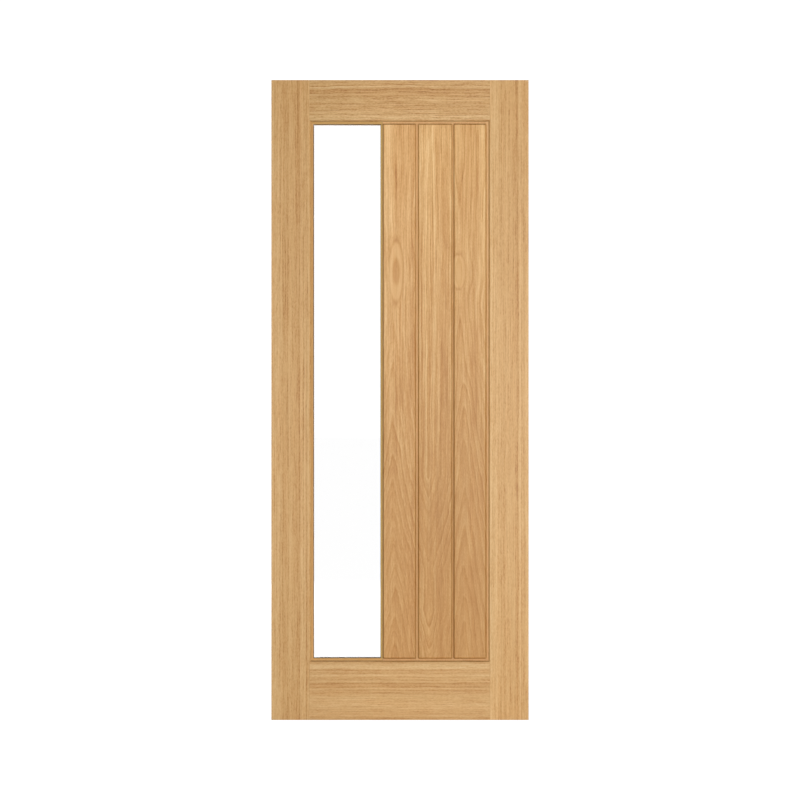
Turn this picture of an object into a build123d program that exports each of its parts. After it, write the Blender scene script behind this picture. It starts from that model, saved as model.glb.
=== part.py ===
"""Glazed door leaf: stiles, rails, a tall glass strip and a boarded panel.

Frame: origin at the foot of the hinge edge, at mid thickness.
+X points out of the hinge edge, +Z up, -Y is the front face. Millimetres.
"""
import os

from build123d import *

os.makedirs("parts", exist_ok=True)

# ---- driving dimensions ---------------------------------------------------
leaf_w = 820.0            # width of the leaf
leaf_h = 2040.0           # height of the leaf
leaf_t = 40.0             # thickness of the leaf

lock_face = 121.6         # flat face of the lock stile, outer edge to chamfer
hinge_face = 123.4        # flat face of the hinge stile, outer edge to chamfer
top_face = 128.4          # flat face of the top rail
bottom_face = 184.5       # flat face of the bottom rail
lipping_t = 8.0           # solid strip on each long edge
arris = 1.2               # eased long arrises of the lippings

channel_depth = 5.0       # channel floors and beads lie this far below the faces
slope = 4.5               # width of every sloped channel wall, seen square on

# faces of the boards, measured from the outer edge of the lock stile
board_faces = ((359.0, 457.4), (471.2, 573.2), (584.4, 681.8))
board_gap_end = 14.5      # channel above and below the boards, at face level
board_corner_r = 5.2      # corner radius of a board at the channel floor

# sight opening of the glass, measured from the outer edge and the foot
sight_x0, sight_x1 = 135.0, 347.7
bead_flat = 8.6           # flat width of the beads at the left, top and bottom

glass_t = 6.0
glass_cover = 4.5         # how far the glass runs behind its beads
tape_t = 1.0              # glazing tape between bead and glass
tape_back = 0.4           # the tape stops this far short of the sight edge
bead_round = 1.5          # eased inner arris of the beads

# ---- derived levels -------------------------------------------------------
x_lock = -leaf_w                         # outer edge of the lock stile
half_t = leaf_t / 2
floor_y = half_t - channel_depth         # channel floor, measured from mid thickness

# inner flat edges of the frame at face level
fx0 = x_lock + lock_face
fx1 = -hinge_face
fz0 = bottom_face
fz1 = leaf_h - top_face
# inner walls of the frame at floor level
wx0, wx1 = fx0 + slope, fx1 - slope
wz0, wz1 = fz0 + slope, fz1 - slope

# board faces in the leaf's frame
boards_x = [(x_lock + a, x_lock + b) for a, b in board_faces]
bz0 = fz0 + board_gap_end
bz1 = fz1 - board_gap_end

# panel and glass openings
core_x0 = boards_x[0][0] - slope         # left side of the boarded panel
gx0 = x_lock + sight_x0                  # sight edges
gx1 = x_lock + sight_x1
gz0 = wz0 + bead_flat
gz1 = wz1 - bead_flat


# ---- stiles ---------------------------------------------------------------
# Each stile is a plain bar with a sloped nose along the opening. The nose is
# mitred into the noses of the rails at both ends.
with BuildPart() as lock_nose:
    with BuildSketch(Plane.XY.offset(fz0)):
        with BuildLine():
            Polyline(
                (fx0, -half_t),
                (wx0, -floor_y),
                (wx0, floor_y),
                (fx0, half_t),
                close=True,
            )
        make_face()
    extrude(amount=fz1 - fz0)
    with BuildSketch(Plane.XZ.offset(-half_t)):
        with BuildLine():
            Polyline((fx0, fz0), (wx0, wz0), (wx0, wz1), (fx0, fz1), close=True)
        make_face()
    extrude(amount=leaf_t, mode=Mode.INTERSECT)

with BuildPart() as lock_stile:
    with BuildSketch(Plane.XY):
        with Locations(((x_lock + lipping_t + fx0) / 2, 0)):
            Rectangle(lock_face - lipping_t, leaf_t)
    extrude(amount=leaf_h)
    add(lock_nose.part)

with BuildPart() as hinge_nose:
    with BuildSketch(Plane.XY.offset(fz0)):
        with BuildLine():
            Polyline(
                (fx1, -half_t),
                (fx1, half_t),
                (wx1, floor_y),
                (wx1, -floor_y),
                close=True,
            )
        make_face()
    extrude(amount=fz1 - fz0)
    with BuildSketch(Plane.XZ.offset(-half_t)):
        with BuildLine():
            Polyline((fx1, fz0), (fx1, fz1), (wx1, wz1), (wx1, wz0), close=True)
        make_face()
    extrude(amount=leaf_t, mode=Mode.INTERSECT)

with BuildPart() as hinge_stile:
    with BuildSketch(Plane.XY):
        with Locations(((fx1 - lipping_t) / 2, 0)):
            Rectangle(hinge_face - lipping_t, leaf_t)
    extrude(amount=leaf_h)
    add(hinge_nose.part)

# ---- edge lippings --------------------------------------------------------
with BuildPart() as lock_edge_lipping:
    with BuildSketch(Plane.XY):
        with Locations((x_lock + lipping_t / 2, 0)):
            Rectangle(lipping_t, leaf_t)
    extrude(amount=leaf_h)
    fillet(
        lock_edge_lipping.edges().filter_by(Axis.Z).group_by(Axis.X)[0],
        radius=arris,
    )

with BuildPart() as hinge_edge_lipping:
    with BuildSketch(Plane.XY):
        with Locations((-lipping_t / 2, 0)):
            Rectangle(lipping_t, leaf_t)
    extrude(amount=leaf_h)
    fillet(
        hinge_edge_lipping.edges().filter_by(Axis.Z).group_by(Axis.X)[-1],
        radius=arris,
    )

# ---- rails ----------------------------------------------------------------
with BuildPart() as top_nose:
    with BuildSketch(Plane.YZ.offset(fx0)):
        with BuildLine():
            Polyline(
                (-half_t, fz1),
                (half_t, fz1),
                (floor_y, wz1),
                (-floor_y, wz1),
                close=True,
            )
        make_face()
    extrude(amount=fx1 - fx0)
    with BuildSketch(Plane.XZ.offset(-half_t)):
        with BuildLine():
            Polyline((fx0, fz1), (fx1, fz1), (wx1, wz1), (wx0, wz1), close=True)
        make_face()
    extrude(amount=leaf_t, mode=Mode.INTERSECT)

with BuildPart() as top_rail:
    with BuildSketch(Plane.XY.offset(fz1)):
        with Locations(((fx0 + fx1) / 2, 0)):
            Rectangle(fx1 - fx0, leaf_t)
    extrude(amount=top_face)
    add(top_nose.part)

with BuildPart() as bottom_nose:
    with BuildSketch(Plane.YZ.offset(fx0)):
        with BuildLine():
            Polyline(
                (-half_t, fz0),
                (-floor_y, wz0),
                (floor_y, wz0),
                (half_t, fz0),
                close=True,
            )
        make_face()
    extrude(amount=fx1 - fx0)
    with BuildSketch(Plane.XZ.offset(-half_t)):
        with BuildLine():
            Polyline((fx0, fz0), (wx0, wz0), (wx1, wz0), (fx1, fz0), close=True)
        make_face()
    extrude(amount=leaf_t, mode=Mode.INTERSECT)

with BuildPart() as bottom_rail:
    with BuildSketch(Plane.XY):
        with Locations(((fx0 + fx1) / 2, 0)):
            Rectangle(fx1 - fx0, leaf_t)
    extrude(amount=bottom_face)
    add(bottom_nose.part)

# ---- boarded panel --------------------------------------------------------
# One flat core between the glass and the hinge stile. Its faces are the floors
# of the channels, and the boards stand on them, level with the stiles.
with BuildPart() as panel_core:
    with BuildSketch(Plane.XY.offset(wz0)):
        with Locations(((core_x0 + wx1) / 2, 0)):
            Rectangle(wx1 - core_x0, 2 * floor_y)
    extrude(amount=wz1 - wz0)

board_names = ("left", "middle", "right")
boards = {}
for side, sign in (("front", -1), ("back", 1)):
    for name, (bx0, bx1) in zip(board_names, boards_x):
        base = Plane(
            origin=((bx0 + bx1) / 2, sign * floor_y, (bz0 + bz1) / 2),
            x_dir=(1, 0, 0),
            z_dir=(0, sign, 0),
        )
        with BuildPart() as board:
            with BuildSketch(base):
                RectangleRounded(
                    bx1 - bx0 + 2 * slope, bz1 - bz0 + 2 * slope, board_corner_r
                )
            extrude(amount=channel_depth)
            top = board.faces().sort_by(Axis.Y)[0 if sign < 0 else -1]
            chamfer(top.edges(), length=slope)
        boards[f"{side}_board_{name}"] = board

# ---- glass ----------------------------------------------------------------
with BuildPart() as glass_pane:
    with BuildSketch(Plane.XZ.offset(-glass_t / 2)):
        with Locations(((gx0 + gx1) / 2, (gz0 + gz1) / 2)):
            Rectangle(gx1 - gx0 + 2 * glass_cover, gz1 - gz0 + 2 * glass_cover)
    extrude(amount=glass_t)
    chamfer(glass_pane.edges().filter_by(Axis.Z), length=0.5)

# ---- glazing beads and tape -----------------------------------------------
# Outer corners lie on the walls of the opening, inner corners on the sight edge.
ox0, ox1, oz0, oz1 = wx0, core_x0, wz0, wz1
bead_y0 = glass_t / 2 + tape_t           # back of a bead
ring = {
    "left": ((ox0, oz0), (ox0, oz1), (gx0, gz1), (gx0, gz0)),
    "right": ((ox1, oz0), (gx1, gz0), (gx1, gz1), (ox1, oz1)),
    "top": ((ox0, oz1), (ox1, oz1), (gx1, gz1), (gx0, gz1)),
    "bottom": ((ox0, oz0), (gx0, gz0), (gx1, gz0), (ox1, oz0)),
}
# the tape is a little narrower than the bead, and as wide as the glass behind it
tx0, tx1 = gx0 - glass_cover, gx1 + glass_cover
tz0, tz1 = gz0 - glass_cover, gz1 + glass_cover
sx0, sx1 = gx0 - tape_back, gx1 + tape_back
sz0, sz1 = gz0 - tape_back, gz1 + tape_back
tape_ring = {
    "left": ((tx0, tz0), (tx0, tz1), (sx0, sz1), (sx0, sz0)),
    "right": ((tx1, tz0), (sx1, sz0), (sx1, sz1), (tx1, tz1)),
    "top": ((tx0, tz1), (tx1, tz1), (sx1, sz1), (sx0, sz1)),
    "bottom": ((tx0, tz0), (sx0, sz0), (sx1, sz0), (tx1, tz0)),
}
beads = {}
tapes = {}
for side, sign in (("front", -1), ("back", 1)):
    for name in ("left", "right", "top", "bottom"):
        # sketch planes look outwards, so extrusions run towards the face
        out = Plane(origin=(0, sign * bead_y0, 0), x_dir=(1, 0, 0), z_dir=(0, sign, 0))
        up = -sign                       # local Y runs down on the back plane
        with BuildPart() as bead:
            with BuildSketch(out):
                with BuildLine():
                    Polyline(*[(x, up * z) for x, z in ring[name]], close=True)
                make_face()
            extrude(amount=floor_y - bead_y0)
            outer = bead.faces().sort_by(Axis.Y)[0 if sign < 0 else -1]
            if name == "left":
                inner = outer.edges().filter_by(Axis.Z).sort_by(Axis.X)[-1]
            elif name == "right":
                inner = outer.edges().filter_by(Axis.Z).sort_by(Axis.X)[0]
            elif name == "top":
                inner = outer.edges().filter_by(Axis.X).sort_by(Axis.Z)[0]
            else:
                inner = outer.edges().filter_by(Axis.X).sort_by(Axis.Z)[-1]
            fillet(inner, radius=bead_round)
        beads[f"{side}_bead_{name}"] = bead

        face = Plane(
            origin=(0, sign * glass_t / 2, 0), x_dir=(1, 0, 0), z_dir=(0, sign, 0)
        )
        with BuildPart() as tape:
            with BuildSketch(face):
                with BuildLine():
                    Polyline(*[(x, up * z) for x, z in tape_ring[name]], close=True)
                make_face()
            extrude(amount=tape_t)
        tapes[f"{side}_tape_{name}"] = tape

# ---- labels and files -----------------------------------------------------
pieces = {
    "lock_stile": lock_stile,
    "hinge_stile": hinge_stile,
    "lock_edge_lipping": lock_edge_lipping,
    "hinge_edge_lipping": hinge_edge_lipping,
    "top_rail": top_rail,
    "bottom_rail": bottom_rail,
    "panel_core": panel_core,
    "glass_pane": glass_pane,
    **boards,
    **beads,
    **tapes,
}
for label, piece in pieces.items():
    piece.part.label = label
    export_step(piece.part, f"parts/{label}.step")
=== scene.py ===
"""Oak door leaf with a tall glass strip and upright boards, on a plain white stage."""
import math

import bmesh
import bpy
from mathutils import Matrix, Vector


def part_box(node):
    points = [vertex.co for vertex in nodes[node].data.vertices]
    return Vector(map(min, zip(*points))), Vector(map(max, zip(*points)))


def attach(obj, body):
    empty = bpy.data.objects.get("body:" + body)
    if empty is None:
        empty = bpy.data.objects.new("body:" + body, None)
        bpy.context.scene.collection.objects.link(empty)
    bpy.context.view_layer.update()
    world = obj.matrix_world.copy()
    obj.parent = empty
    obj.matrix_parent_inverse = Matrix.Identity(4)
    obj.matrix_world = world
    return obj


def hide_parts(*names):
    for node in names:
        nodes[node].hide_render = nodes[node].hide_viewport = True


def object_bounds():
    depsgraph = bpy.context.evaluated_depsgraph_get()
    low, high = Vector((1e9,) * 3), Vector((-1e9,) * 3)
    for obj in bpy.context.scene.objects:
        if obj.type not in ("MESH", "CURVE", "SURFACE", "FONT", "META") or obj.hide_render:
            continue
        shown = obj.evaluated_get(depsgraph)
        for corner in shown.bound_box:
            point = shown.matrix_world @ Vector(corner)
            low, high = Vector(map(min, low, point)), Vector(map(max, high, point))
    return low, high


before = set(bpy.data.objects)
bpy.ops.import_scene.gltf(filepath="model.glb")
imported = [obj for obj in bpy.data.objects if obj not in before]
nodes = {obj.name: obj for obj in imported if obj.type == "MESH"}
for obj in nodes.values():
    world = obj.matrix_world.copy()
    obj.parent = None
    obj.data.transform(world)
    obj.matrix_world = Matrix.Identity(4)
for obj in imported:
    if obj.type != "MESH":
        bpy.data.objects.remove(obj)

cad_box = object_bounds()
scene = bpy.context.scene

# ---------------------------------------------------------------- the camera
# Square on to the front face, on the middle of the leaf.
lo, hi = cad_box
middle = (lo + hi) / 2
DISTANCE = 8.0                     # from the front face, in metres
FIELD = 2.55                       # metres across the picture at the front face
cam_data = bpy.data.cameras.new("camera")
cam_data.sensor_width = 36.0
cam_data.lens = 36.0 * DISTANCE / FIELD
cam_data.clip_end = 200.0
cam = bpy.data.objects.new("camera", cam_data)
scene.collection.objects.link(cam)
cam.location = (middle.x, lo.y - DISTANCE, middle.z)
cam.rotation_euler = (math.radians(90), 0, 0)
scene.camera = cam

scene.view_settings.view_transform = "Standard"
scene.view_settings.look = "None"


# ------------------------------------------------------- values as node maths
class Val:
    """A number in a node tree. Arithmetic on it adds Math nodes."""

    def __init__(self, tree, socket):
        self.tree, self.socket = tree, socket

    def op(self, name, *others, clamp=False):
        n = self.tree.nodes.new("ShaderNodeMath")
        n.operation = name
        n.use_clamp = clamp
        for i, v in enumerate((self,) + others):
            if isinstance(v, Val):
                self.tree.links.new(v.socket, n.inputs[i])
            else:
                n.inputs[i].default_value = float(v)
        return Val(self.tree, n.outputs[0])

    def __add__(self, o): return self.op("ADD", o)
    def __radd__(self, o): return self.op("ADD", o)
    def __sub__(self, o): return self.op("SUBTRACT", o)
    def __rsub__(self, o): return (self * -1.0) + o
    def __mul__(self, o): return self.op("MULTIPLY", o)
    def __rmul__(self, o): return self.op("MULTIPLY", o)
    def __truediv__(self, o): return self.op("DIVIDE", o)
    def sqrt(self): return self.op("SQRT")
    def abs(self): return self.op("ABSOLUTE")
    def floor(self): return self.op("FLOOR")
    def fract(self): return self.op("FRACT")
    def exp(self): return self.op("EXPONENT")
    def sin(self): return self.op("SINE")
    def pow(self, p): return self.op("POWER", p)
    def clamp(self): return self.op("ADD", 0.0, clamp=True)
    def less(self, o): return self.op("LESS_THAN", o)
    def more(self, o): return self.op("GREATER_THAN", o)
    def min(self, o): return self.op("MINIMUM", o)
    def max(self, o): return self.op("MAXIMUM", o)

    def ramp(self, a, b, smooth=True):
        """0 at a, 1 at b."""
        n = self.tree.nodes.new("ShaderNodeMapRange")
        n.interpolation_type = "SMOOTHSTEP" if smooth else "LINEAR"
        n.clamp = True
        self.tree.links.new(self.socket, n.inputs["Value"])
        n.inputs["From Min"].default_value = a
        n.inputs["From Max"].default_value = b
        return Val(self.tree, n.outputs["Result"])

    def bell(self, centre, width):
        """A smooth hump of height 1."""
        d = (self - centre) / width
        return (d * d * -1.0).exp()


def vec(tree, x, y, z):
    n = tree.nodes.new("ShaderNodeCombineXYZ")
    for i, v in enumerate((x, y, z)):
        if isinstance(v, Val):
            tree.links.new(v.socket, n.inputs[i])
        else:
            n.inputs[i].default_value = float(v)
    return n.outputs[0]


def noise(tree, x, y, z, detail=2.0, rough=0.5, distortion=0.0):
    """Smooth noise about 0, roughly -0.5 to 0.5."""
    n = tree.nodes.new("ShaderNodeTexNoise")
    n.noise_dimensions = "3D"
    n.inputs["Scale"].default_value = 1.0
    n.inputs["Detail"].default_value = detail
    n.inputs["Roughness"].default_value = rough
    n.inputs["Distortion"].default_value = distortion
    tree.links.new(vec(tree, x, y, z), n.inputs["Vector"])
    return Val(tree, n.outputs["Fac"]) - 0.5


def scatter(tree, x, y=0.0, z=0.0):
    """White noise of a point, 0 to 1."""
    n = tree.nodes.new("ShaderNodeTexWhiteNoise")
    n.noise_dimensions = "3D"
    tree.links.new(vec(tree, x, y, z), n.inputs["Vector"])
    return Val(tree, n.outputs["Value"])


def colour_ramp(tree, value, stops):
    n = tree.nodes.new("ShaderNodeValToRGB")
    cr = n.color_ramp
    cr.interpolation = "LINEAR"
    while len(cr.elements) < len(stops):
        cr.elements.new(0.5)
    for e, (pos, rgb) in zip(cr.elements, stops):
        e.position = pos
        e.color = (*rgb, 1.0)
    tree.links.new(value.socket, n.inputs["Fac"])
    return n.outputs["Color"]


def scaled(tree, colour, r, g, b):
    """Colour times three numbers or values."""
    n = tree.nodes.new("ShaderNodeMix")
    n.data_type = "RGBA"
    n.blend_type = "MULTIPLY"
    n.inputs["Factor"].default_value = 1.0
    tree.links.new(colour, n.inputs["A"])
    tree.links.new(vec(tree, r, g, b), n.inputs["B"])
    return n.outputs["Result"]


def new_material(name):
    m = bpy.data.materials.new(name)
    m.use_nodes = True
    tree = m.node_tree
    tree.nodes.clear()
    out = tree.nodes.new("ShaderNodeOutputMaterial")
    bsdf = tree.nodes.new("ShaderNodeBsdfPrincipled")
    tree.links.new(bsdf.outputs[0], out.inputs["Surface"])
    return m, tree, bsdf


def place(tree):
    """Object coordinates in millimetres, and the object-space normal."""
    tc = tree.nodes.new("ShaderNodeTexCoord")
    sep = tree.nodes.new("ShaderNodeSeparateXYZ")
    tree.links.new(tc.outputs["Object"], sep.inputs[0])
    sn = tree.nodes.new("ShaderNodeSeparateXYZ")
    tree.links.new(tc.outputs["Normal"], sn.inputs[0])
    p = [Val(tree, s) * 1000.0 for s in sep.outputs]
    n = [Val(tree, s) for s in sn.outputs]
    return p, n


def bump(tree, bsdf, height, depth_mm, strength=1.0):
    n = tree.nodes.new("ShaderNodeBump")
    n.inputs["Strength"].default_value = strength
    n.inputs["Distance"].default_value = depth_mm / 1000.0
    tree.links.new(height.socket, n.inputs["Height"])
    tree.links.new(n.outputs["Normal"], bsdf.inputs["Normal"])


# ----------------------------------------------------------------------- oak
# The wood is a solid: its figure depends on the place across the grain, on the
# depth below the face and on the place along the grain, so that faces, slopes,
# edges and ends all cut the same wood.
OAK = (
    (-0.40, (0.941, 0.699, 0.403)),
    (0.00, (0.826, 0.544, 0.271)),
    (0.30, (0.697, 0.401, 0.160)),
    (0.60, (0.576, 0.287, 0.091)),
    (1.00, (0.380, 0.132, 0.024)),
    (1.40, (0.230, 0.062, 0.010)),
)
OAK = tuple(((at + 0.4) / 1.8, rgb) for at, rgb in OAK)


def oak(
    name,
    seed,
    grain="z",
    across=0.0,          # middle of the piece across the grain, mm
    face=-20.0,          # y of the face that the depth is counted from, mm
    heart=None,          # flat sawn: line of the peaks across from the middle, as a function
    climb=None,          # flat sawn: how the rings climb along the grain, mm, as a function
    tip=7.0,             # flat sawn: roundness of the peaks, mm
    ring=17.0,           # distance of the growth rings on the face, mm
    flame=1.0,           # strength of the growth rings
    wave=1.0,            # waviness of the fibres
    bands=(0.2, 0.1, 0.1, 0.1),     # strength of broad bands: whole length, long, middling, short
    fibres=(0.3, 0.2, 0.2, 0.2),    # strength of fine streaks: whole length, long, middling, short
    flecks=0.2,          # strength of the shortest dashes
    thin=1.0,            # width of the fine streaks, as a share of the usual one
    calm=None,           # (from, to, share): the fine streaks are weaker before this place along the grain
    bite=0.0,            # how much sharper the dark streaks are than the light ones
    streaks=(),          # (across, width, strength[, from, to]): single darker or lighter streaks
    tint=(1.0, 1.0, 1.0),
    fade=None,           # (from, to, r, g, b): tint that is reached along the grain
    eyes=(),             # ovals: (across, along, half width, half height, darkness of core, lightness of ring)
    painted_slope_shade=0.0,     # painted shade: how much darker the sloped edges are coloured, as if they lay in shadow
    painted_shade_turn=0.0,      # the painted shade turned to the light: slopes facing the hinge edge get that much less of it, slopes facing the lock edge that much more
    sides=True,          # whether surfaces square to the face get the painted shade too
    painted_edge_shadow=0.0,            # painted shadow: how much darker the rounded arrises are coloured
    tone=0.0,            # shift of the whole piece along the colour range
    gloss=0.34,          # specular level of the finish
):
    m, tree, bsdf = new_material(name)
    (x, y, z), (nx, ny, nz) = place(tree)
    if grain == "z":
        a, c, end = x - across, z, nz.abs()
    else:
        a, c, end = z - across, x, nx.abs()
    depth = (y - face) if face < 0 else (y * -1.0 + face)
    s = seed * 17.31

    # the fibres wander a little from side to side
    wander = noise(tree, a / 120.0 + s, depth / 90.0, c / 150.0, 2.0)
    swing = noise(tree, a / 35.0, depth / 60.0 + s, c / 62.0, 1.0)
    aw = a + wander * (11.0 * wave) + swing * (3.2 * wave)

    # bands and streaks of several lengths, all much longer than wide
    def layer(i, width, length, detail, rough, strength):
        return noise(
            tree, aw / width + s * (1.0 + 0.13 * i), depth / width - s, c / length + 7.7 * i, detail, rough
        ) * strength

    band = [layer(i, w, l, 1.0, 0.5, k) for i, ((w, l), k) in enumerate(
        zip(((27.0, 12000.0), (27.0, 520.0), (24.0, 190.0), (22.0, 75.0)), bands))]
    fibre = [layer(i + 4, w * thin, l, 2.0, 0.6, k) for i, ((w, l), k) in enumerate(
        zip(((3.7, 12000.0), (3.5, 340.0), (3.3, 120.0), (2.7, 36.0)), fibres))]
    fleck = layer(9, 2.6, 7.5, 1.0, 0.5, flecks)
    if calm is not None:
        lively = c.ramp(calm[0], calm[1]) * (1.0 - calm[2]) + calm[2]
        fibre[:3] = [v * lively for v in fibre[:3]]
    streak_m = noise(tree, aw / 2.5, depth / 2.5 + s, c / 85.0, 2.0, 0.55)
    streak_s = noise(tree, aw / 1.5 + s, depth / 1.5, c / 22.0, 2.0, 0.6)

    # growth rings: a broad tone for each year, and finer lines with jagged edges
    jag = noise(tree, a / 3.6, depth / 3.6 - s, c / 170.0, 2.0, 0.6)
    loose = noise(tree, a / 45.0 + s, depth / 45.0, c / 140.0, 2.0)
    if heart is not None:
        da = a - heart(c) + wander * 6.0
        dd = depth * 0.8 + tip
        r = ((da * da + dd * dd).sqrt() + climb(c) + loose * 19.0) * -1.0
    else:
        r = aw + depth * 0.7 + loose * 5.0
    r = r / ring + noise(tree, r / (ring * 3.0), s, 0.37, 1.0) * 1.3 + s
    q = r + jag * (4.5 / ring)
    f = q.fract()
    luck = scatter(tree, q.floor(), s, 0.5)
    early = f.ramp(0.0, 0.20) * (f * -2.0).exp() * 1.25
    q2 = (r + jag * (3.5 / ring)) * 2.17 + 0.31
    f2 = q2.fract()
    luck2 = scatter(tree, q2.floor(), s, 3.5)
    fine = f2.ramp(0.0, 0.18) * (f2 * -3.0).exp() * 1.25
    clear = (noise(tree, a / 55.0 - s, depth / 55.0, c / 210.0, 1.0) * 2.4 + 0.95).clamp()
    rings = (early - 0.42) * (luck * 0.9 + 0.45) * (clear * 0.6 + 0.4) + (fine - 0.33) * luck2 * clear * 1.1

    # pores: dark dashes, crowded where a year's growth starts
    pore_c = noise(tree, aw / 1.5 - s, depth / 1.5, c / 12.0, 1.0, 0.5)
    pore_f = noise(tree, aw / 0.36, depth / 0.36 - s, c / 5.5, 1.0, 0.4)
    crowd = (early * 0.7 + 0.35).clamp()
    pores = (pore_f.ramp(0.14, 0.24) * 0.7 + pore_c.ramp(0.08, 0.20) * 0.6) * crowd

    lines = fibre[0] + fibre[1] + fibre[2] + fibre[3] + fleck
    if bite:
        lines = lines * (lines * bite + 1.0)
    figure = rings * (0.20 * flame) + lines + band[1] + band[2] + band[3]
    for at, along, w, h, heartwood, light in eyes:
        ea = (a - at + wander * 4.0 + jag * 1.5) / w
        ec = (c - along + streak_m * 9.0).abs() / h
        e = (ea * ea + ec.pow(2.5)).sqrt()
        core = (ea * ea * 2.3 + ec * ec * 4.0).sqrt().ramp(1.25, 0.65)
        caps = ea.bell(0.0, 0.75) * ec.bell(1.18, 0.15)
        figure = figure * (e.ramp(1.40, 0.95) * (light * -5.0) + 1.0)
        figure = figure + core * heartwood - e.ramp(1.12, 0.90) * light + e.bell(1.16, 0.09) * 0.12 + caps * 0.15
    t = figure + pores * 0.22 + band[0] + (0.34 + tone)
    for at, width, strength, *reach in streaks:
        v = aw.bell(at, width) * (streak_m * 1.2 + 1.0) * strength
        t = t + (v * c.ramp(*reach) if reach else v)
    # lighter along the arrises: wear, and a painted highlight where the rounded arrises catch the light
    wear_and_highlight = ny.abs().bell(0.90, 0.07) * (streak_m * 1.5 + 0.6).clamp()
    t = t + end * 0.14 - wear_and_highlight * 0.20
    colour = colour_ramp(tree, (t + 0.4) / 1.8, OAK)

    # slow change of hue, and the tint of the piece
    hue = noise(tree, aw / 17.0 - s, depth / 17.0, c / 420.0 + s, 2.0)
    parts = []
    for i, (k, h) in enumerate(zip(tint, (0.045, -0.01, -0.06))):
        v = hue * h + k
        if fade is not None:
            v = v + c.ramp(fade[0], fade[1], smooth=False) * (fade[2 + i] - k)
        parts.append(v)
    # painted shade: the sloped edges (and, with sides, the surfaces square to the face) are darkened as if in
    # shadow, less where they face the hinge edge and the key light
    if painted_slope_shade:
        painted_shade_mask = ny.abs().ramp(0.97, 0.80)
        if not sides:
            painted_shade_mask = painted_shade_mask * ny.abs().ramp(0.20, 0.50)
        shade = painted_shade_mask * (nx * painted_shade_turn - painted_slope_shade) + 1.0
        parts = [v * shade for v in parts]
    # painted shadow: the rounded arrises are darkened to stand in for the shade of the rebate
    if painted_edge_shadow:
        painted_edge_shadow_mask = ny.abs().ramp(0.999, 0.95) * ny.abs().ramp(0.06, 0.26) * -painted_edge_shadow + 1.0
        parts = [v * painted_edge_shadow_mask for v in parts]
    colour = scaled(tree, colour, *parts)
    tree.links.new(colour, bsdf.inputs["Base Color"])

    # satin lacquer: the pores stay a little open and dull
    rough = streak_s * 0.14 + pores * 0.20 + early * 0.05 + 0.46
    tree.links.new(rough.socket, bsdf.inputs["Roughness"])
    bsdf.inputs["Specular IOR Level"].default_value = gloss
    height = pores * -1.0 + streak_s * 0.5 + early * -0.3
    bump(tree, bsdf, height, 0.10, 0.5)
    return m


# -------------------------------------------------------- pieces of the leaf
def dressed(node, material, rounds, piece=None):
    """A copy of a CAD piece with its arrises rounded, as planed and sanded wood has them.

    rounds(mid, direction) gives the rounding in millimetres of an edge with that middle, or 0.
    """
    src = nodes[node]
    bm = bmesh.new()
    bm.from_mesh(src.data)
    bmesh.ops.remove_doubles(bm, verts=bm.verts, dist=2e-5)
    bmesh.ops.dissolve_limit(
        bm, angle_limit=math.radians(0.6), verts=bm.verts, edges=bm.edges
    )
    weight = bm.edges.layers.float.new("bevel_weight_edge")
    for e in bm.edges:
        if len(e.link_faces) == 2 and e.calc_face_angle() > math.radians(24):
            mid = (e.verts[0].co + e.verts[1].co) / 2 * 1000
            way = (e.verts[1].co - e.verts[0].co).normalized()
            e[weight] = min(rounds(mid, way), 2.0) / 2.0
    me = bpy.data.meshes.new(node + "_raw")
    bm.to_mesh(me)
    bm.free()
    raw = bpy.data.objects.new(node + "_raw", me)
    scene.collection.objects.link(raw)
    b = raw.modifiers.new("round", "BEVEL")
    b.width = 0.002
    b.segments = 3
    b.limit_method = "WEIGHT"
    b.profile = 0.5
    b.use_clamp_overlap = True
    dg = bpy.context.evaluated_depsgraph_get()
    final = bpy.data.meshes.new_from_object(raw.evaluated_get(dg))
    bpy.data.objects.remove(raw)
    bpy.data.meshes.remove(me)
    bm = bmesh.new()
    bm.from_mesh(final)
    bmesh.ops.remove_doubles(bm, verts=bm.verts, dist=1e-5)
    bmesh.ops.dissolve_degenerate(bm, edges=bm.edges, dist=1e-6)
    bm.to_mesh(final)
    bm.free()
    final.name = (piece or node) + "_wood"
    ob = bpy.data.objects.new((piece or node) + "_wood", final)
    scene.collection.objects.link(ob)
    final.materials.clear()
    final.materials.append(material)
    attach(ob, "root")
    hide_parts(node)
    return ob


def mm_box(node):
    a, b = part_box(node)
    return a * 1000, b * 1000


L0, L1 = mm_box("lock_stile")
H0, H1 = mm_box("hinge_stile")
T0, T1 = mm_box("top_rail")
B0, B1 = mm_box("bottom_rail")
JOINT_L, JOINT_R = T0.x, T1.x      # joint lines between stiles and rails
HEIGHT = L1.z


def frame_rounds(mid, way):
    if abs(mid.y) < 14.0 and abs(way.y) < 0.5:
        return 0.0                                   # inside the joints
    upright = abs(way.z) > 0.9
    if upright and (abs(mid.x - L0.x) < 0.5 or abs(mid.x - H1.x) < 0.5):
        return 0.0                                   # where the lipping is glued on
    at_joint = abs(mid.x - JOINT_L) < 0.6 or abs(mid.x - JOINT_R) < 0.6
    if upright and at_joint and not (B1.z - 8 < mid.z < T0.z + 8):
        return 0.16                                  # the tight line between stile and rail
    if abs(way.y) > 0.9:
        return 0.0
    if abs(way.z) < 0.9 and abs(way.x) < 0.9:
        return 0.0                                   # mitres
    return 0.7


def lipping_rounds(mid, way):
    if abs(way.z) > 0.9:
        return 0.0
    return 0.7 if abs(way.y) < 0.9 or abs(mid.x) < 1 or abs(mid.x + 820) < 1 else 0.0


def board_rounds(mid, way):
    return 0.9 if abs(mid.y) > 17.5 else 0.0


def bead_rounds(mid, way):
    return 0.4 if abs(mid.y) > 12.0 and (abs(way.x) > 0.9 or abs(way.z) > 0.9) else 0.0


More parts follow.
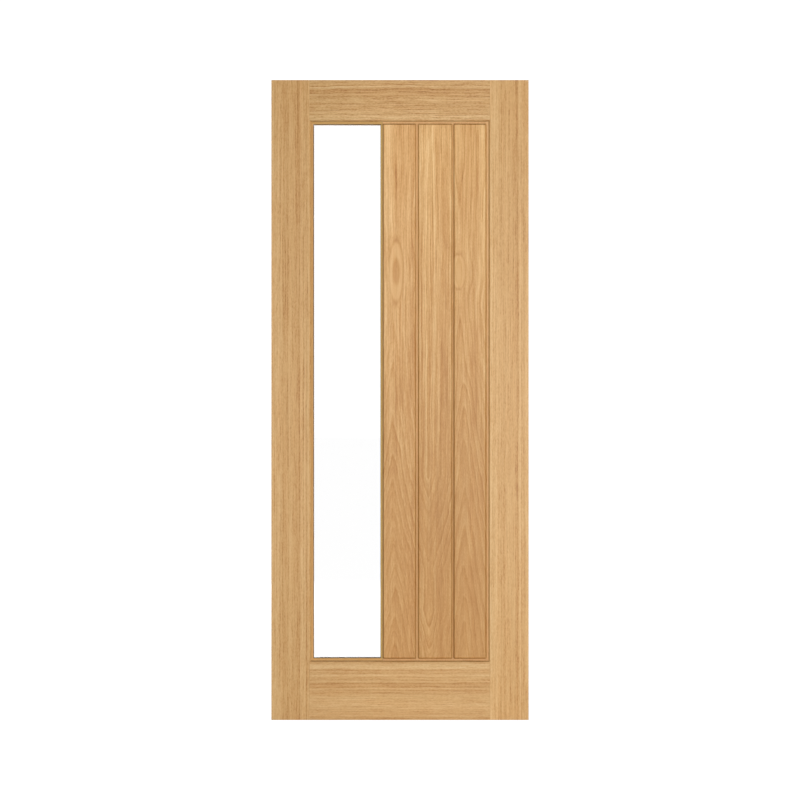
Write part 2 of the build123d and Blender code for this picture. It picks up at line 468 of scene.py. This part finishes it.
# stiles and rails: straight grain, with single darker and lighter streaks. Both stiles
# come from one log and carry the same streaks.
def stile_streaks(shift, strength):
    return [(at + shift, width, k * strength) for at, width, k in (
        (-58.0, 7.0, -0.07), (-43.0, 8.0, -0.10), (-20.0, 11.0, 0.05), (5.0, 1.8, 0.07), (13.0, 6.0, 0.05),
        (23.7, 3.0, 0.16), (32.0, 3.4, -0.11), (41.0, 1.8, -0.09), (47.0, 1.9, 0.11), (55.0, 4.0, -0.06))]


# painted shade on the frame: the chamfers of the hinge stile and both rails are darkened as if in shadow; the
# lock stile's chamfer, facing the key light, is not
oak_lock = oak(
    "oak_lock_stile", 1, across=(L0.x + JOINT_L) / 2, ring=9.0, flame=0.5, wave=0.16,
    bands=(0.08, 0.05, 0.08, 0.06), fibres=(0.52, 0.66, 0.52, 0.55), flecks=0.50, bite=1.4,
    streaks=stile_streaks(0.0, 1.0) + [(-17.0, 6.0, 0.04), (19.5, 2.3, 0.20, 1700.0, 1850.0)],
    tint=(0.905, 0.930, 0.885), fade=(100.0, 800.0, 0.945, 0.950, 0.888),
)
oak_hinge = oak(
    "oak_hinge_stile", 2, across=(JOINT_R + H1.x) / 2, ring=9.0, flame=0.5, wave=0.16,
    bands=(0.08, 0.05, 0.08, 0.06), fibres=(0.48, 0.60, 0.48, 0.50), flecks=0.46, bite=1.4,
    streaks=stile_streaks(5.5, 0.85) + [
        (-55.0, 9.0, -0.07), (15.0, 6.0, 0.04), (27.0, 2.3, 0.13, 1700.0, 1850.0)],
    tint=(0.985, 1.000, 0.935), fade=(150.0, 800.0, 0.996, 0.994, 0.912), painted_slope_shade=0.20, sides=False,
)
oak_top = oak(
    "oak_top_rail", 3, grain="x", across=(T0.z + T1.z) / 2, ring=11.0, flame=0.8, wave=1.0, thin=0.8,
    bands=(0.20, 0.05, 0.14, 0.10), fibres=(0.90, 0.60, 0.94, 1.02), flecks=0.74, bite=0.9,
    streaks=((33.0, 8.0, 0.21), (46.0, 3.5, -0.12), (18.0, 6.0, 0.09), (5.0, 3.5, -0.06), (-49.0, 15.0, -0.14), (-52.0, 3.5, -0.12)),
    tint=(0.890, 0.899, 0.828), fade=(-690.0, -480.0, 0.959, 0.964, 0.912), painted_slope_shade=0.26, sides=False,
)
oak_bottom = oak(
    "oak_bottom_rail", 4, grain="x", across=(B0.z + B1.z) / 2, ring=11.0, flame=0.6, wave=0.5,
    bands=(0.14, 0.05, 0.10, 0.08), fibres=(0.66, 0.32, 0.46, 0.46), flecks=0.46, bite=1.0,
    streaks=((74.0, 7.0, -0.18), (55.0, 3.0, 0.10), (47.5, 2.4, -0.10), (20.0, 4.0, 0.20),
             (12.0, 4.0, 0.11), (-8.0, 14.0, 0.06), (-44.0, 14.0, -0.13), (-77.0, 9.0, 0.07)),
    tint=(0.912, 0.942, 0.924), fade=(-690.0, -480.0, 0.948, 0.984, 0.962), painted_slope_shade=0.20, sides=False,
)
for node, mat in (("lock_stile", oak_lock), ("hinge_stile", oak_hinge),
                  ("top_rail", oak_top), ("bottom_rail", oak_bottom)):
    dressed(node, mat, frame_rounds)
for node, mat in (("lock_edge_lipping", oak_lock), ("hinge_edge_lipping", oak_hinge)):
    dressed(node, mat, lipping_rounds)


# boards: flat sawn, with pointed arches, and an oval where the log bulged
def between(c, lo_, hi_):
    return c.max(lo_).min(hi_) - lo_


def climb_left(c):
    return (between(c, 0.0, 900.0) * 0.20 + between(c, 900.0, 1320.0) * 0.11
            - between(c, 1520.0, 2040.0) * 0.045 - c.bell(1423.0, 80.0) * 14.0)


def climb_middle(c):
    return (between(c, 480.0, 780.0) * -0.25 - between(c, 180.0, 350.0) * 0.24
            - between(c, 780.0, 1500.0) * 0.012 + between(c, 1500.0, 2040.0) * 0.025)


def climb_right(c):
    return (between(c, 0.0, 1150.0) * 0.15 + between(c, 1150.0, 1350.0) * 0.06
            - between(c, 1500.0, 2040.0) * 0.05 - c.bell(1423.0, 55.0) * 12.0)


def heart_left(c):
    return c.ramp(300.0, 700.0) * -8.0 + c.ramp(1000.0, 1300.0) * 6.0 - 13.0


def heart_middle(c):
    return c.ramp(900.0, 1500.0) * 4.0 - 21.0


def heart_right(c):
    return c.ramp(950.0, 1300.0) * -16.0 - 17.8


def mirrored(fn):
    return lambda c: fn(c) * -1.0


# painted shade on the boards, front and back: their sloped edges are darkened as if in shadow, most on the
# slopes facing the lock edge
BOARDS = {
    "front_board_left": dict(
        seed=11, face=-20.0, heart=heart_left, climb=climb_left,
        eyes=((-10.5, 1429.0, 19.0, 89.0, 0.33, 0.135),), fibres=(0.38, 0.92, 0.70, 0.36),
        streaks=((-38.0, 13.0, -0.09, 900.0, 1300.0), (-8.0, 15.0, 0.05, 900.0, 1300.0),
                 (16.0, 5.0, -0.07, 1250.0, 1500.0)),
        painted_slope_shade=0.28, painted_shade_turn=0.16,
        tint=(0.860, 0.768, 0.588), fade=(700.0, 1900.0, 1.14, 1.115, 1.03),
    ),
    "front_board_middle": dict(
        seed=12, face=-20.0, heart=heart_middle, climb=climb_middle, fibres=(0.42, 1.08, 0.82, 0.42),
        streaks=((-20.0, 26.0, -0.07, 850.0, 1250.0), (28.0, 22.0, 0.10, 850.0, 1250.0)), flame=1.3, tip=4.0,
        painted_slope_shade=0.18, painted_shade_turn=0.03,
        tint=(0.820, 0.720, 0.525), fade=(700.0, 1900.0, 1.135, 1.13, 1.03),
    ),
    "front_board_right": dict(
        seed=13, face=-20.0, heart=heart_right, climb=climb_right,
        eyes=((-36.5, 1429.0, 20.0, 50.0, 0.0, 0.11),),
        streaks=((-24.0, 11.0, 0.05, 1450.0, 1650.0), (42.0, 9.0, -0.10, 900.0, 1300.0),
                 (18.0, 9.0, 0.04, 900.0, 1300.0), (-23.0, 8.0, 0.13, 1090.0, 990.0),
                 (-23.0, 8.0, -0.13, 910.0, 820.0)),
        painted_slope_shade=0.23, painted_shade_turn=0.11,
        tint=(0.828, 0.727, 0.526), fade=(700.0, 1900.0, 1.085, 1.05, 0.91),
    ),
    "back_board_left": dict(
        seed=21, face=20.0, heart=mirrored(heart_middle), climb=climb_middle,
        tint=(0.825, 0.730, 0.540), fade=(700.0, 1900.0, 1.13, 1.13, 1.04),
    ),
    "back_board_middle": dict(
        seed=22, face=20.0, heart=mirrored(heart_right), climb=climb_right,
        tint=(0.835, 0.740, 0.555), fade=(700.0, 1900.0, 1.12, 1.11, 1.00),
    ),
    "back_board_right": dict(
        seed=23, face=20.0, heart=mirrored(heart_left), climb=climb_left,
        eyes=((14.0, 1300.0, 18.0, 86.0, 0.30, 0.12),),
        tint=(0.860, 0.770, 0.595), fade=(700.0, 1900.0, 1.14, 1.13, 1.05),
    ),
}
BOARD = dict(
    ring=17.0, wave=0.30, flame=1.4, bands=(0.30, 0.26, 0.26, 0.24), fibres=(0.38, 0.98, 0.74, 0.38), thin=0.78,
    flecks=0.36, calm=(620.0, 1150.0, 0.36), painted_slope_shade=0.20, painted_shade_turn=0.04,
)
for node, kw in BOARDS.items():
    b0, b1 = mm_box(node)
    mat = oak("oak_" + node, across=(b0.x + b1.x) / 2, **{**BOARD, **kw})
    dressed(node, mat, board_rounds)

# the panel behind the boards, and the glazing beads
P0, P1 = mm_box("panel_core")
oak_panel = oak(
    "oak_panel", 31, across=(P0.x + P1.x) / 2, ring=9.0, flame=0.5, wave=0.4,
    tint=(0.90, 0.84, 0.76), fade=(650.0, 1800.0, 1.04, 1.03, 1.02),
)
nodes["panel_core"].data.materials.clear()
nodes["panel_core"].data.materials.append(oak_panel)

# painted shade on the beads: the returns and the rounded sight edges are darkened as if in shadow, most at the
# bottom, least at the right
BEADS = {
    "left": dict(seed=41, across=-689.0, painted_slope_shade=0.08, painted_edge_shadow=0.82, tint=(0.935, 0.915, 0.87)),
    "right": dict(seed=42, across=-469.0, painted_slope_shade=0.08, painted_edge_shadow=0.36, tint=(0.84, 0.935, 0.83)),
    "top": dict(seed=43, grain="x", across=1903.0, painted_slope_shade=0.20, painted_edge_shadow=0.88, tint=(0.93, 0.97, 0.88)),
    "bottom": dict(seed=44, grain="x", across=193.0, painted_slope_shade=0.60, painted_edge_shadow=0.92, tint=(0.97, 0.955, 0.90)),
}
for where, kw in BEADS.items():
    mat = oak("oak_bead_" + where, ring=8.0, flame=0.5, wave=0.2, gloss=0.06, **kw)
    for side in ("front", "back"):
        dressed(f"{side}_bead_{where}", mat, bead_rounds)

# ------------------------------------------------------------ glass and tape
glass, tree, bsdf = new_material("clear_glass")
(x, y, z), n = place(tree)
g0, g1 = mm_box("glass_pane")
edge = (x - g0.x).min(x * -1.0 + g1.x).min((z - g0.z).min(z * -1.0 + g1.z))
green = edge.ramp(6.0, 0.0)
haze = noise(tree, x / 90.0, y / 90.0, z / 160.0, 3.0)
gc = colour_ramp(tree, green * 0.9 + haze * 0.05 + 0.02, ((0.06, (1.0, 1.0, 1.0)), (1.0, (0.70, 0.90, 0.80))))
tree.links.new(gc, bsdf.inputs["Base Color"])
tree.links.new((haze * 0.012 + 0.008).max(0.0).socket, bsdf.inputs["Roughness"])
bsdf.inputs["Transmission Weight"].default_value = 1.0
bsdf.inputs["IOR"].default_value = 1.5
nodes["glass_pane"].data.materials.clear()
nodes["glass_pane"].data.materials.append(glass)

tape, tree, bsdf = new_material("glazing_tape")
(x, y, z), n = place(tree)
cells = noise(tree, x / 0.5, y / 0.5, z / 0.5, 2.0)
tc = colour_ramp(tree, cells + 0.5, ((0.0, (0.060, 0.044, 0.030)), (1.0, (0.17, 0.128, 0.088))))
tree.links.new(tc, bsdf.inputs["Base Color"])
tree.links.new((cells * 0.2 + 0.78).socket, bsdf.inputs["Roughness"])
bump(tree, bsdf, cells, 0.15, 0.6)
for side in ("front", "back"):
    for where in ("left", "right", "top", "bottom"):
        o = nodes[f"{side}_tape_{where}"]
        o.data.materials.clear()
        o.data.materials.append(tape)

# ------------------------------------------------------------------ the stage
def seen_directly(tree):
    """1 where the picture shows the surface itself, straight or through glass."""
    lp = tree.nodes.new("ShaderNodeLightPath")
    bounced = Val(tree, lp.outputs["Diffuse Depth"]) + Val(tree, lp.outputs["Glossy Depth"])
    through = Val(tree, lp.outputs["Is Transmission Ray"]) * bounced.less(0.5)
    return Val(tree, lp.outputs["Is Camera Ray"]).max(through)


floor_me = bpy.data.meshes.new("floor")
bm = bmesh.new()
bmesh.ops.create_grid(bm, x_segments=8, y_segments=8, size=60.0)
bm.to_mesh(floor_me)
bm.free()
floor = bpy.data.objects.new("floor", floor_me)
scene.collection.objects.link(floor)
floor.location = (middle.x, 0, lo.z - 0.0005)
fm, tree, bsdf = new_material("pale_floor")
(x, y, z), n = place(tree)
grainy = noise(tree, x / 900.0, y / 900.0, 0.0, 3.0)
fc = colour_ramp(tree, grainy + 0.5, ((0.0, (0.74, 0.74, 0.74)), (1.0, (0.78, 0.78, 0.78))))
tree.links.new(fc, bsdf.inputs["Base Color"])
bsdf.inputs["Roughness"].default_value = 0.9
bsdf.inputs["Specular IOR Level"].default_value = 0.1
glow = tree.nodes.new("ShaderNodeEmission")
glow.inputs["Strength"].default_value = 1.14
both = tree.nodes.new("ShaderNodeMixShader")
tree.links.new((seen_directly(tree) * 0.93).socket, both.inputs[0])
tree.links.new(bsdf.outputs[0], both.inputs[1])
tree.links.new(glow.outputs[0], both.inputs[2])
for n_ in tree.nodes:
    if n_.type == "OUTPUT_MATERIAL":
        tree.links.new(both.outputs[0], n_.inputs["Surface"])
floor_me.materials.append(fm)

# light: a white room, one soft box near the front, a little to the right, its
# twin behind, and narrow strips for the two long edges
world = bpy.data.worlds.new("white")
scene.world = world
world.use_nodes = True
wt = world.node_tree
wt.nodes.clear()
w_out = wt.nodes.new("ShaderNodeOutputWorld")
back = wt.nodes.new("ShaderNodeBackground")
back.inputs["Color"].default_value = (1, 1, 1, 1)
wt.links.new((seen_directly(wt) * 0.99 + 0.12).socket, back.inputs["Strength"])
wt.links.new(back.outputs[0], w_out.inputs[0])


def softbox(name, at, size, power, target=(-0.41, 0.0, 1.02)):
    d = bpy.data.lights.new(name, "AREA")
    d.shape = "RECTANGLE"
    d.size, d.size_y = size
    d.energy = power
    o = bpy.data.objects.new(name, d)
    scene.collection.objects.link(o)
    o.location = at
    o.rotation_euler = (Vector(target) - Vector(at)).to_track_quat("-Z", "Y").to_euler()
    o.visible_camera = False
    return o


softbox("key_front", (0.64, -6.0, 1.15), (0.8, 1.2), 220.0)
softbox("key_back", (-1.46, 6.0, 1.15), (0.8, 1.2), 220.0)
softbox("strip_hinge", (3.2, 0.0, 1.2), (0.25, 1.8), 55.0)
softbox("strip_lock", (-4.02, 0.0, 1.2), (0.25, 1.8), 55.0)
softbox("strip_top", (-0.41, 0.0, 4.6), (1.6, 0.25), 40.0)
